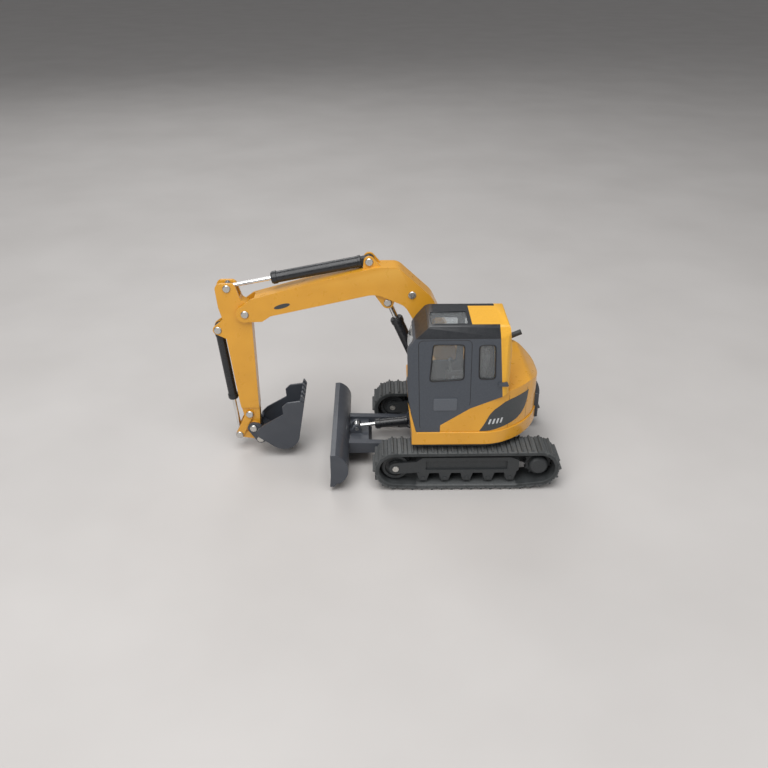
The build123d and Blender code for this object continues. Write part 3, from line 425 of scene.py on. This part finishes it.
def track(hand):
    """Rubber belt with a shoe and a tapered tread bar at each pitch."""
    path = belt_path(hand)
    low, high = corners(f"track_{hand}")
    y = (low.y + high.y) / 2
    half = SHOE_WIDTH / 2
    bm = bmesh.new()
    rings = []
    for i in range(BELT_STEPS):
        place, step = walk(path, i / BELT_STEPS)
        outward = Vector((step.y, -step.x))
        ring = []
        for out, inset in BELT_SECTION:
            ring.append((place + outward * out, half - inset - SIDE_CLEARANCE))
        verts = [bm.verts.new(Vector((p.x, y + w, p.y)) * MM) for p, w in ring]
        verts += [bm.verts.new(Vector((p.x, y - w, p.y)) * MM) for p, w in reversed(ring)]
        rings.append(verts)
    for i, ring in enumerate(rings):
        after = rings[(i + 1) % BELT_STEPS]
        for k in range(len(ring)):
            j = (k + 1) % len(ring)
            bm.faces.new([ring[k], ring[j], after[j], after[k]])
    pitch = sum((path[(i + 1) % len(path)] - p).length for i, p in enumerate(path)) / SHOES
    pad = pitch / 2 - SHOE_GAP
    for i in range(SHOES):
        place, step = walk(path, i / SHOES)
        shoe = [(-pad, -0.32), (pad, -0.32), (pad, -0.05), (0.3, 0.0), (-0.3, 0.0), (-pad, -0.05)]
        shoe_block(bm, place, step, y, half, shoe)
        shoe_block(bm, place, step, y, half - BAR_INSET, TREAD_BAR)
    obj = add_object(f"track_{hand}_shoes", bm, MATERIALS["track_rubber"])
    soften(obj, 0.05, 1)
    belongs(obj, f"track_{hand}")
    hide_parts(f"track_{hand}")


# ---------------------------------------------------------------- cab
SIDE_Y = 17.1  # outer face of the cab's left wall
ROOF_RIM_Z = 39.7  # the side walls lean in above this height
WINDOW_SEAL_RADIUS, WINDOW_SEAL_SINK = 0.14, 0.02
DOOR_SEAM_RADIUS, DOOR_SEAM_SINK = 0.07, 0.03
DOOR_PANEL_EDGE = 0.06
LEFT_WINDOWS = (
    [(9.5, 29.1), (1.8, 29.6), (2.0, 38.3), (8.9, 38.4)],
    [(-1.6, 29.7), (-5.3, 29.7), (-4.9, 38.2), (-1.3, 38.1)],
)


def cab_trim():
    """Window seals, door seams and the raised panel low on the door."""
    for i, window in enumerate(LEFT_WINDOWS):
        line = [(x, SIDE_Y - WINDOW_SEAL_SINK, z) for x, z in rounded(window, 0.9)]
        bead(f"window_seal_{i}", "cab_frame", line, WINDOW_SEAL_RADIUS, SEAL, closed=True)
    outline = rounded([(11.5, 16.6), (12.2, 39.3), (0.4, 39.4), (0.1, 22.8)], 1.2)
    front_seam = [(x, SIDE_Y - DOOR_SEAM_SINK, z) for x, z in outline[3:-3]]
    bead("door_seam", "cab_frame", front_seam, DOOR_SEAM_RADIUS, SEAL)
    panel = rounded([(8.5, 21.7), (3.1, 21.7), (3.1, 24.8), (8.5, 24.8)], 0.5)
    plate("door_panel", "cab_frame", panel, SIDE_Y - 0.1, SIDE_Y + 0.16, PANEL_GREY,
          DOOR_PANEL_EDGE)


def blacken_roof(cab):
    """The grey cab's roof rim, visor and right-hand rail are moulded in black."""
    cab.data.materials.append(ROOF_BLACK)
    # Faces that look down, such as the cab's ceiling, stay grey.
    for polygon in cab.data.polygons:
        if polygon.center.z > ROOF_RIM_Z * MM and polygon.normal.z > -0.2:
            polygon.material_index = 1


def seat():
    """Moulded seat: cushion, backrest, headrest and plinth, each a rounded block."""
    low, high = corners("seat")
    middle = (low.y + high.y) / 2
    blocks = (
        # centre x and z, size along x, y and z, tilt in degrees, corner radius
        (0.0, low.z + 2.8, 4.6, 5.0, 5.6, 0, 0.4),
        (0.2, 24.4, 6.2, 6.4, 1.8, 2, 0.85),
        (-3.2, 29.4, 1.5, 6.2, 9.4, -8, 0.7),
        (-4.1, 35.4, 1.2, 3.6, 2.2, -8, 0.55),
    )
    bm = bmesh.new()
    for x, z, length, width, height, tilt, radius in blocks:
        made = bmesh.ops.create_cube(bm, size=1.0)
        verts = made["verts"]
        turn = Matrix.Rotation(math.radians(tilt), 4, "Y")
        scale = Matrix.Diagonal((length * MM, width * MM, height * MM, 1))
        shift = Matrix.Translation(Vector((x, middle, z)) * MM)
        bmesh.ops.transform(bm, matrix=shift @ turn @ scale, verts=verts)
        edges = list({e for v in verts for e in v.link_edges})
        bmesh.ops.bevel(bm, geom=edges, offset=radius * MM, segments=5, profile=0.6, affect="EDGES")
    obj = belongs(add_object("seat_moulding", bm, MATERIALS["interior_plastic"], 50), "seat")
    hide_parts("seat")


# ---------------------------------------------------------------- seams and decals
TAIL_R = 17.9  # the bonnet's round tail, about the swing axis
SHOULDER_R = 11.0  # blend between the straight side and the round tail
SHOULDER_Y = SIDE_Y - SHOULDER_R
# The side is flat in front of this x.
SHOULDER_X = -math.sqrt((TAIL_R - SHOULDER_R) ** 2 - SHOULDER_Y**2)
TAIL_START = math.atan2(SHOULDER_Y, SHOULDER_X)  # direction in which the tail takes over
DECAL_LIFT = 0.04
DECAL_ROOT = -0.1  # the decals' inner face, under the skin
HOOD_SEAMS = (9.45, 9.45 + 6.4)  # distances along the skin to the bonnet's joints
HOOD_SEAM_Z = (16.1, 24.6)
HOOD_SEAM_RADIUS, HOOD_SEAM_SINK, HOOD_SEAM_STEPS = 0.05, 0.03, 8
MARK_BARS, MARK_START, MARK_PITCH = 4, 4.3, 0.95
BADGE_X, BADGE_Z = 43.5, 40.6
BADGE_HALF_LENGTH, BADGE_HALF_HEIGHT, BADGE_DROP = 1.9, 0.55, 0.49
BADGE_POINTS, BADGE_EDGE = 40, 0.02


def wrap(distance, z, lift):
    """A point on the left side and round tail: distance runs rearward from x = 0 along the skin."""
    if distance <= -SHOULDER_X:
        return (-distance, SIDE_Y + lift, z)
    turn = math.pi / 2 + (distance + SHOULDER_X) / SHOULDER_R
    if turn <= TAIL_START:
        radius = SHOULDER_R + lift
        return (SHOULDER_X + radius * math.cos(turn), SHOULDER_Y + radius * math.sin(turn), z)
    turn = TAIL_START + (turn - TAIL_START) * SHOULDER_R / TAIL_R
    radius = TAIL_R + lift
    return (radius * math.cos(turn), radius * math.sin(turn), z)


def curve_at(points, u):
    """Value at u of a line of (u, v) points, straight from point to point."""
    for (u0, v0), (u1, v1) in zip(points, points[1:]):
        if u <= u1:
            t = max(0.0, (u - u0) / (u1 - u0))
            return v0 + (v1 - v0) * t
    return points[-1][1]


def skin_patch(name, node, top, bottom, lift, material, columns=60, rows=8):
    """A thin patch that follows the skin, between two lines of (distance, z) points."""
    bm = bmesh.new()
    start, end = top[0][0], top[-1][0]
    sheets = []
    for level in (lift, DECAL_ROOT):
        grid = []
        for i in range(columns + 1):
            u = start + (end - start) * i / columns
            high, low = curve_at(top, u), curve_at(bottom, u)
            high = max(high, low + 0.01)
            heights = [low + (high - low) * j / rows for j in range(rows + 1)]
            grid.append([bm.verts.new(Vector(wrap(u, z, level)) * MM) for z in heights])
        sheets.append(grid)
    outer, inner = sheets
    for i in range(columns):
        for j in range(rows):
            bm.faces.new([outer[i][j], outer[i][j + 1], outer[i + 1][j + 1], outer[i + 1][j]])
            bm.faces.new([inner[i][j], inner[i + 1][j], inner[i + 1][j + 1], inner[i][j + 1]])
        bm.faces.new([outer[i][0], outer[i + 1][0], inner[i + 1][0], inner[i][0]])
        bm.faces.new([outer[i][rows], inner[i][rows], inner[i + 1][rows], outer[i + 1][rows]])
    for i in (0, columns):
        for j in range(rows):
            bm.faces.new([outer[i][j], inner[i][j], inner[i][j + 1], outer[i][j + 1]])
    return belongs(add_object(name, bm, material, 40), node)


def hood_seams():
    """Thin joints on the bonnet's left side, where its moulding meets the side panel."""
    foot, head = HOOD_SEAM_Z
    for i, distance in enumerate(HOOD_SEAMS):
        line = []
        for k in range(HOOD_SEAM_STEPS + 1):
            line.append(wrap(distance, foot + (head - foot) * k / HOOD_SEAM_STEPS, -HOOD_SEAM_SINK))
        bead(f"hood_seam_{i}", "engine_hood", line, HOOD_SEAM_RADIUS, SEAL)


def swoosh():
    """The dark flash on the bonnet's left side, with a generic mark of slanted bars."""
    # Points are (distance along the skin, height).
    top = [(2.4, 16.2), (3.4, 17.9), (4.6, 20.5), (5.7, 21.7), (7.2, 22.6), (8.3, 23.2),
           (9.9, 23.5), (11.7, 23.6), (13.5, 23.7), (16.4, 23.7)]
    bottom = [(2.4, 16.05), (4.9, 16.15), (6.7, 16.5), (8.5, 16.8), (10.7, 17.2), (12.5, 17.7),
              (14.0, 18.5), (15.2, 19.6), (16.0, 21.3), (16.4, 23.5)]
    skin_patch("side_flash", "engine_hood", top, bottom, DECAL_LIFT, DECAL)
    for i in range(MARK_BARS):
        start = MARK_START + MARK_PITCH * i
        bar_top = [(start, 18.0), (start + 0.35, 19.2), (start + 0.75, 19.2)]
        bar_bottom = [(start, 17.9), (start + 0.4, 17.9), (start + 0.75, 19.1)]
        name = f"side_mark_{i}"
        skin_patch(name, "engine_hood", bar_top, bar_bottom, DECAL_LIFT * 2, PALE_PRINT, 6, 3)


def boom_badge():
    """A blank oval badge on the boom's left face."""
    y = corners("boom")[1].y
    outline = []
    for turn in (math.tau * k / BADGE_POINTS for k in range(BADGE_POINTS)):
        x = BADGE_X + BADGE_HALF_LENGTH * math.cos(turn)
        z = BADGE_Z + BADGE_HALF_HEIGHT * math.sin(turn) - BADGE_DROP * math.cos(turn)
        outline.append((x, z))
    plate("boom_badge", "boom", outline, y - 0.1, y + 0.05, DECAL, BADGE_EDGE)


# ---------------------------------------------------------------- build
# Widths of the softened edges; a node that isn't listed gets SMALL_EDGE.
SMALL_EDGE = 0.06
EDGES = {
    "boom": 0.28, "stick": 0.2, "bucket": 0.08, "engine_hood": 0.2, "counterweight": 0.35,
    "skirt_left": 0.15, "skirt_right": 0.15, "cab_frame": 0.1, "cab_rear_cover": 0.1,
    "tank_cover": 0.2, "pump_cover": 0.12, "boom_bracket": 0.12, "car_body": 0.2,
    "track_frame_left": 0.12, "track_frame_right": 0.12, "blade_arms": 0.15,
    "blade_moldboard": 0.08,
}
OWN_MESH = {"track_left", "track_right", "seat"}
GLAZING = {"windscreen", "skylight", "rear_window", "side_windows"}
for node in frame["nodes"]:
    if node in OWN_MESH:
        continue
    if node in GLAZING:
        finished(node, 0)
        continue
    made = finished(node, EDGES.get(node, SMALL_EDGE))
    if node == "cab_frame":
        blacken_roof(made)
track("left")
track("right")
seat()
cab_trim()
swoosh()
hood_seams()
boom_badge()


# ---------------------------------------------------------------- studio
CAMERA_LENS, SENSOR_WIDTH = 38.94, 36.0
CAMERA_AIM = (19.7, 14.0, 27.0)
CAMERA_AZIMUTH, CAMERA_ELEVATION, CAMERA_DISTANCE = 89.15, 28.46, 190.1
WORLD_COLOUR, WORLD_STRENGTH = (0.62, 0.62, 0.63, 1), 0.34
LIGHTS = (
    # name, azimuth and elevation in degrees, distance and size in metres, power in watts
    ("top_panel", 80, 72, 0.45, 0.40, 1.75),
    ("key_panel", 60, 35, 0.50, 0.30, 0.85),
    ("fill_panel", 140, 25, 0.55, 0.40, 0.45),
    ("rim_panel", -70, 40, 0.55, 0.30, 0.6),
)


def direction(azimuth, elevation):
    """Unit vector away from the model; azimuth turns from +X towards +Y, in degrees."""
    a, e = math.radians(azimuth), math.radians(elevation)
    return Vector((math.cos(a) * math.cos(e), math.sin(a) * math.cos(e), math.sin(e)))


def floor():
    """Pale plain floor, faintly mottled."""
    bm = bmesh.new()
    bmesh.ops.create_grid(bm, x_segments=2, y_segments=2, size=4.0)
    tree = Tree("studio_floor", Roughness=0.6)
    tree.set("Base Color", tree.ramp(tree.noise(40.0), (0.50, 0.480, 0.465), (0.54, 0.520, 0.505)))
    tree.bump(tree.noise(3.0), 0.02, 0.2)
    add_object("floor", bm, tree.material)


def light(name, azimuth, elevation, distance, size, power):
    """A soft round panel aimed at the model."""
    data = bpy.data.lights.new(name, "AREA")
    data.shape = "DISK"
    data.size = size
    data.energy = power
    obj = bpy.data.objects.new(name, data)
    bpy.context.scene.collection.objects.link(obj)
    away = direction(azimuth, elevation)
    obj.location = CENTRE + away * distance
    obj.rotation_euler = away.to_track_quat("Z", "Y").to_euler()


def camera():
    """Stands to the machine's left, looking down on it."""
    data = bpy.data.cameras.new("camera")
    data.lens = CAMERA_LENS
    data.sensor_width = SENSOR_WIDTH
    data.clip_start, data.clip_end = 0.01, 20.0
    obj = bpy.data.objects.new("camera", data)
    bpy.context.scene.collection.objects.link(obj)
    away = direction(CAMERA_AZIMUTH, CAMERA_ELEVATION)
    obj.location = Vector(CAMERA_AIM) * MM + away * (CAMERA_DISTANCE * MM)
    obj.rotation_euler = away.to_track_quat("Z", "Y").to_euler()
    bpy.context.scene.camera = obj


CENTRE = (CAD_BOX[0] + CAD_BOX[1]) / 2
floor()
for panel in LIGHTS:
    light(*panel)
camera()
world = bpy.data.worlds.new("studio")
world.use_nodes = True
world.node_tree.nodes["Background"].inputs["Color"].default_value = WORLD_COLOUR
world.node_tree.nodes["Background"].inputs["Strength"].default_value = WORLD_STRENGTH
bpy.context.scene.world = world
bpy.context.scene.view_settings.view_transform = "Standard"
